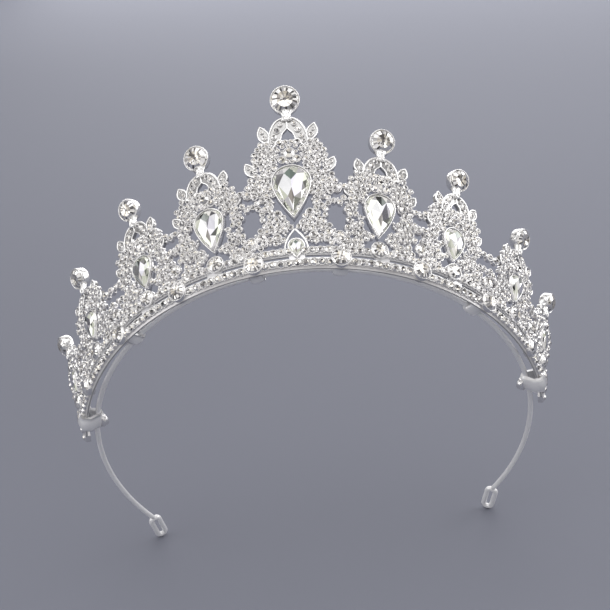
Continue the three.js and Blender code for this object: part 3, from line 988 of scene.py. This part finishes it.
def build_wire():
    """The sprung wire, one run from loop to loop."""
    steps = 180
    path = [wire_band.at(WIRE_REACH * (2 * i / steps - 1))[0] for i in range(steps + 1)]
    metal = Shape()
    metal.add(Matrix.Identity(4), *tube(path, WIRE_THICKNESS / 2, 10), BRIGHT)
    for side in (1, -1):
        place = panel(side * WIRE_REACH, 0, wire_band) @ Matrix.Rotation(-side * LOOP_TURN, 4, "Y")
        place = place @ at(side * (LOOP_LENGTH / 2 - 0.8), 0) @ Matrix.Rotation(LOOP_ROLL, 4, "X")
        loop = []
        loop_radius = LOOP_WIDTH / 2 - LOOP_ROUND
        straight = (LOOP_LENGTH - LOOP_WIDTH) / 2
        for end in (1, -1):
            for i in range(13):
                angle = pi * (i / 12 - 0.5 * end)
                loop.append((end * straight + loop_radius * cos(angle),
                             loop_radius * sin(angle), 0))
        metal.add(place, *tube(loop, LOOP_ROUND, 12, True), BRIGHT)
    return make_piece("wire", metal, steel, "spring_wire", "headband_wire")


def fold_path(reach, wrap):
    """Round the wire from the rail's back: over, behind and under it, in (out, up)."""
    path = [(reach + TAB_SINK, wrap)]
    for i in range(9):
        angle = pi / 2 + pi * i / 8
        path.append((wrap * cos(angle), wrap * sin(angle)))
    path.append((reach + TAB_SINK, -wrap))
    return path


def wrap_path(reach, wrap):
    """The same fold, begun up the rail's inner face and carried on under the rail to its front."""
    rail_foot = -WIRE_LIFT - WIRE_THICKNESS / 2 - 0.35
    top = 3.2
    start = (reach - 0.5 + (top - rail_foot) * tan(FLARE), top)
    front = reach + RAIL_THICKNESS
    end = [(reach - 0.3, rail_foot), (front, rail_foot), (front + 0.5, rail_foot + 1.4)]
    return [start] + fold_path(reach - TAB_SINK, wrap)[:-1] + end


def clasp_axes(arc):
    """Axes at the wire's middle, x towards the rail and y up, and the distance to its face."""
    angle = rail_band.angle(arc)
    centre, _, _ = wire_band.at_angle(angle)
    rail_point, _, _ = rail_band.at_angle(angle)
    outward = Vector((rail_point.x - centre.x, rail_point.y - centre.y, 0))
    reach = outward.length - RAIL_THICKNESS / 2 + 0.3
    outward.normalize()
    up = Vector((0, 0, 1))
    axes = Matrix((outward, up, outward.cross(up))).transposed().to_4x4()
    return Matrix.Translation(centre) @ axes, reach


def build_clasp(name, node, arc, width, bulge, path_of):
    """A metal strip folded round the wire, its outside bulging between its edges."""
    place, reach = clasp_axes(arc)
    half = CLASP_THICKNESS / 2
    line = [Vector(spot) for spot in path_of(reach, WIRE_THICKNESS / 2 + half)]
    size = len(line)
    columns = 7
    points = []
    for k in range(columns):
        share = 2 * k / (columns - 1) - 1
        swell = half + bulge * (1 - share ** 2)
        for offset in (-swell, half):
            for n, spot in enumerate(line):
                along = (line[min(n + 1, size - 1)] - line[max(n - 1, 0)]).normalized()
                points.append((spot.x - along.y * offset, spot.y + along.x * offset,
                               0.5 * width * share))
    row = 2 * size
    last = (columns - 1) * row
    faces = strip_faces(0, size, size) + strip_faces(last, last + size, size)
    for low in range(0, last, row):
        faces += strip_faces(low, low + row, size)
        faces += strip_faces(low + size, low + size + row, size)
        for a in (low, low + size - 1):
            faces.append((a, a + row, a + row + size, a + size))
    shape = Shape()
    shape.add(place, points, faces, BRIGHT)
    make_piece(name, shape, steel, "plated_metal", node)


def build_end(side, word):
    """What closes each end of the rail: a stone inside the wrap and one outside it, and a rounded
    tab beyond with two small stones."""
    work = Work(23)
    inside, _ = clasp_axes(side * WRAP_AT)
    inside = inside @ Matrix.Translation((-1.3, -1.0, 0)) @ Matrix.Rotation(-0.8, 4, "Z")
    inside = inside @ Matrix.Rotation(-pi / 2, 4, "Y")
    outside = panel(side * (WRAP_AT + 1.0)) @ at(0, 3.2, RAIL_THICKNESS / 2 - 0.4)
    for place, diameter in ((inside, 3.6), (outside, 4.4)):
        round_setting(work.metal, place, diameter, -0.5, 1.2)
        round_stone(work.stones, place @ at(0, 0, 1.1), diameter, work.rng)
    tab = panel(side * (RAIL_REACH + 1.6))
    plate = prism(ellipse(0, 2.6, 2.9, 2.6), -0.9, 0.7, 0.3)
    work.metal.add(tab, *plate, BODY, smooth=False)
    for across, height in ((-0.9, 3.2), (1.0, 2.2)):
        work.set_stone(tab @ at(side * across, height, 0.35), 0.95)
    work.finish(f"end_{word}", f"end_stones_{word}")


# ---- Materials ----


def set_inputs(node, **values):
    """Sets a node's own inputs, named with _ for a space."""
    for name, value in values.items():
        node.inputs[name.replace("_", " ")].default_value = value


def new_material(name):
    material = bpy.data.materials.new(name)
    material.use_nodes = True
    tree = material.node_tree
    return material, tree, tree.nodes["Principled BSDF"]


def add_noise(tree, scale, detail, space="Generated"):
    place = tree.nodes.new("ShaderNodeTexCoord")
    noise = tree.nodes.new("ShaderNodeTexNoise")
    set_inputs(noise, Scale=scale, Detail=detail)
    tree.links.new(place.outputs[space], noise.inputs["Vector"])
    return noise.outputs["Fac"]


def add_ramp(tree, noise, dark, light, positions=(0.0, 1.0)):
    """A colour that runs from dark to light as the noise rises."""
    ramp = tree.nodes.new("ShaderNodeValToRGB")
    for element, colour, position in zip(ramp.color_ramp.elements, (dark, light), positions):
        element.position = position
        element.color = (*colour, 1.0)
    tree.links.new(noise, ramp.inputs["Fac"])
    return ramp.outputs["Color"]


def tinted_material(name, metallic, colour, scale, roughness, relief=0.0):
    """A material in the tints painted on the mesh, among them painted highlight, shade and
    reflections, times a colour that varies a little. Its roughness varies between two values;
    relief is the height of its fine bumps in metres."""
    material, tree, shader = new_material(name)
    set_inputs(shader, Metallic=metallic)
    noise = add_noise(tree, scale, 3.0, "Object")
    spread = tree.nodes.new("ShaderNodeMapRange")
    set_inputs(spread, To_Min=roughness[0], To_Max=roughness[1])
    tree.links.new(noise, spread.inputs["Value"])
    tree.links.new(spread.outputs["Result"], shader.inputs["Roughness"])
    tint = tree.nodes.new("ShaderNodeAttribute")
    tint.attribute_name = "tint"
    mix = tree.nodes.new("ShaderNodeMix")
    mix.data_type = "RGBA"
    mix.blend_type = "MULTIPLY"
    set_inputs(mix, Factor=1.0)
    tree.links.new(add_ramp(tree, noise, [0.9 * c for c in colour], colour), mix.inputs[6])
    tree.links.new(tint.outputs["Color"], mix.inputs[7])
    tree.links.new(mix.outputs[2], shader.inputs["Base Color"])
    if relief:
        bump = tree.nodes.new("ShaderNodeBump")
        set_inputs(bump, Distance=relief, Strength=0.5)
        tree.links.new(noise, bump.inputs["Height"])
        tree.links.new(bump.outputs["Normal"], shader.inputs["Normal"])
    return material


def make_silver():
    """Bright plating over a fine cast skin."""
    return tinted_material("silver", 0.9, (0.97, 0.965, 0.96), 900, (0.1, 0.26), 0.00006)


def make_steel():
    """Drawn and plated metal, smoother and less of a mirror than the castings."""
    return tinted_material("steel", 0.3, (0.97, 0.97, 0.98), 2500, (0.12, 0.22), 0.00002)


def make_crystal():
    """Foil-backed glass: facets tinted with painted reflections, under a clear glossy coat."""
    material = tinted_material("crystal", 0.8, (0.97, 0.96, 0.945), 400, (0.03, 0.1))
    shader = material.node_tree.nodes["Principled BSDF"]
    set_inputs(shader, Coat_Weight=1.0, Coat_Roughness=0.02, Coat_IOR=1.55)
    return material


def make_floor_material():
    """Plain and matt, and clear when seen from behind, so that the floor hides nothing."""
    material, tree, shader = new_material("floor")
    set_inputs(shader, Roughness=0.8)
    colour = add_ramp(tree, add_noise(tree, 3.0, 2.0), (0.148, 0.155, 0.192),
                      (0.215, 0.225, 0.272))
    tree.links.new(colour, shader.inputs["Base Color"])
    clear = tree.nodes.new("ShaderNodeBsdfTransparent")
    side = tree.nodes.new("ShaderNodeNewGeometry")
    mix = tree.nodes.new("ShaderNodeMixShader")
    tree.links.new(side.outputs["Backfacing"], mix.inputs[0])
    tree.links.new(shader.outputs["BSDF"], mix.inputs[1])
    tree.links.new(clear.outputs["BSDF"], mix.inputs[2])
    tree.links.new(mix.outputs["Shader"], tree.nodes["Material Output"].inputs["Surface"])
    return material


# ---- Stage, lights and camera ----

# The photograph's upright: the tiara lies tipped back with its loops down on the floor.
PHOTO_UP = Vector((0.0, -0.94, 0.34)).normalized()
FLOOR_HALF = 1.5
LIGHT_DISTANCE = 0.8
LIGHT_TARGET = Vector((0, 0, 0.025))


def build_floor(resting):
    """A plain floor that touches the lowest point of the given piece."""
    lowest = min(PHOTO_UP.dot(corner.co) for corner in resting.data.vertices)
    right = Vector((1, 0, 0))
    forward = PHOTO_UP.cross(right)
    corners = [PHOTO_UP * lowest + (right * x + forward * y) * FLOOR_HALF
               for x, y in ((-1, -1), (1, -1), (1, 1), (-1, 1))]
    mesh = bpy.data.meshes.new("floor")
    mesh.from_pydata(corners, [], [(0, 1, 2, 3)])
    floor = new_object("floor", mesh)
    mesh.materials.append(make_floor_material())
    if mesh.polygons[0].normal.dot(PHOTO_UP) < 0:
        mesh.flip_normals()


def build_light(name, direction, size, power):
    lamp = bpy.data.lights.new(name, "AREA")
    lamp.shape = "RECTANGLE"
    lamp.size, lamp.size_y = size
    lamp.energy = power
    light = new_object(name, lamp)
    back = Vector(direction).normalized()
    light.location = LIGHT_TARGET + back * LIGHT_DISTANCE
    light.rotation_mode = "QUATERNION"
    light.rotation_quaternion = back.to_track_quat("Z", "Y")


def build_lights():
    build_light("overhead", PHOTO_UP, (1.0, 0.8), 2.6)
    build_light("left", (-1.0, -0.5, -0.1), (0.5, 0.7), 1.3)
    build_light("right", (1.0, -0.3, 0.4), (0.4, 0.7), 2.3)
    build_light("top", (0.1, 0.2, 1.0), (0.7, 0.5), 2.6)


def build_world():
    """A studio with pale walls and dark patches for the metal and the stones to mirror. Where it
    is seen itself it is a plain pale grey."""
    world = bpy.data.worlds.new("studio")
    bpy.context.scene.world = world
    world.use_nodes = True
    tree = world.node_tree
    room = add_ramp(tree, add_noise(tree, 4.0, 1.0), (0.07, 0.07, 0.08), (0.93, 0.91, 0.9),
                    (0.38, 0.52))
    path = tree.nodes.new("ShaderNodeLightPath")
    mix = tree.nodes.new("ShaderNodeMix")
    mix.data_type = "RGBA"
    tree.links.new(path.outputs["Is Camera Ray"], mix.inputs["Factor"])
    tree.links.new(room, mix.inputs[6])
    mix.inputs[7].default_value = (0.5, 0.52, 0.58, 1)
    tree.links.new(mix.outputs[2], tree.nodes["Background"].inputs["Color"])


# The photograph's view: from below the band's plane, a little rolled.
CAMERA = dict(target=(1.0, -67.1, -7.12), distance=381.1, azimuth=1.06, elevation=-43.49,
              roll=-4.31, focal_pixels=1400.0)
PHOTO_SIDE = 610


def build_camera():
    data = bpy.data.cameras.new("camera")
    data.sensor_width = 36.0
    data.lens = CAMERA["focal_pixels"] * data.sensor_width / PHOTO_SIDE
    data.clip_start = 0.01
    data.clip_end = 50
    camera = new_object("camera", data)
    target = Vector(CAMERA["target"]) + Vector((0, BAND_CENTRE_Y, 0))
    turn = Matrix.Rotation(radians(CAMERA["azimuth"]), 4, "Z")
    turn = turn @ Matrix.Rotation(radians(90 - CAMERA["elevation"]), 4, "X")
    turn = turn @ Matrix.Rotation(radians(CAMERA["roll"]), 4, "Z")
    back = Matrix.Translation((0, 0, CAMERA["distance"] * MM))
    camera.matrix_world = Matrix.Translation(target * MM) @ turn @ back
    bpy.context.scene.camera = camera


# ---- Making it all ----

silver = make_silver()
steel = make_steel()
crystal = make_crystal()

bpy.context.scene.view_settings.view_transform = "Standard"
build_camera()
build_world()
build_lights()

half_gaps = [(far["along"] - near["along"]) / 2 for near, far in zip(SPIRES, SPIRES[1:])]
half_gaps.append(RAIL_REACH - SPIRES[-1]["along"])
for number, spire in enumerate(SPIRES):
    layout_rng = random.Random(50 + number)
    outside = half_gaps[number]
    inside = half_gaps[number - 1] if number else outside
    links = spire["links"]
    outer = pave_places(spire, outside, links, links[1] if number and links else 0, layout_rng)
    inner_fill = SPIRES[number - 1]["links"][1] if number > 1 else 0
    inner = pave_places(spire, inside, (), inner_fill, layout_rng) if number else outer
    halves = [(1, outside, outer), (-1, inside, inner)]
    if number == 0:
        build_spire(spire, "centre", halves, 100)
        continue
    mirrored = [(-side, half_gap, layout) for side, half_gap, layout in halves]
    build_spire(spire, f"right_{number}", halves, 100 + number)
    build_spire(dict(spire, along=-spire["along"]), f"left_{number}", mirrored, 100 + number)

build_rail()
build_rail_stones()
build_floor(build_wire())
for side, word in SIDES:
    for index, arc in enumerate(TABS, 1):
        build_clasp(f"tab_{word}_{index}", f"wire_tab_{word}_{index}", side * arc, 4.0, 0.4,
                    fold_path)
    build_clasp(f"wrap_{word}", f"end_wrap_{word}", side * WRAP_AT, 6.0, 0.8, wrap_path)
    build_end(side, word)
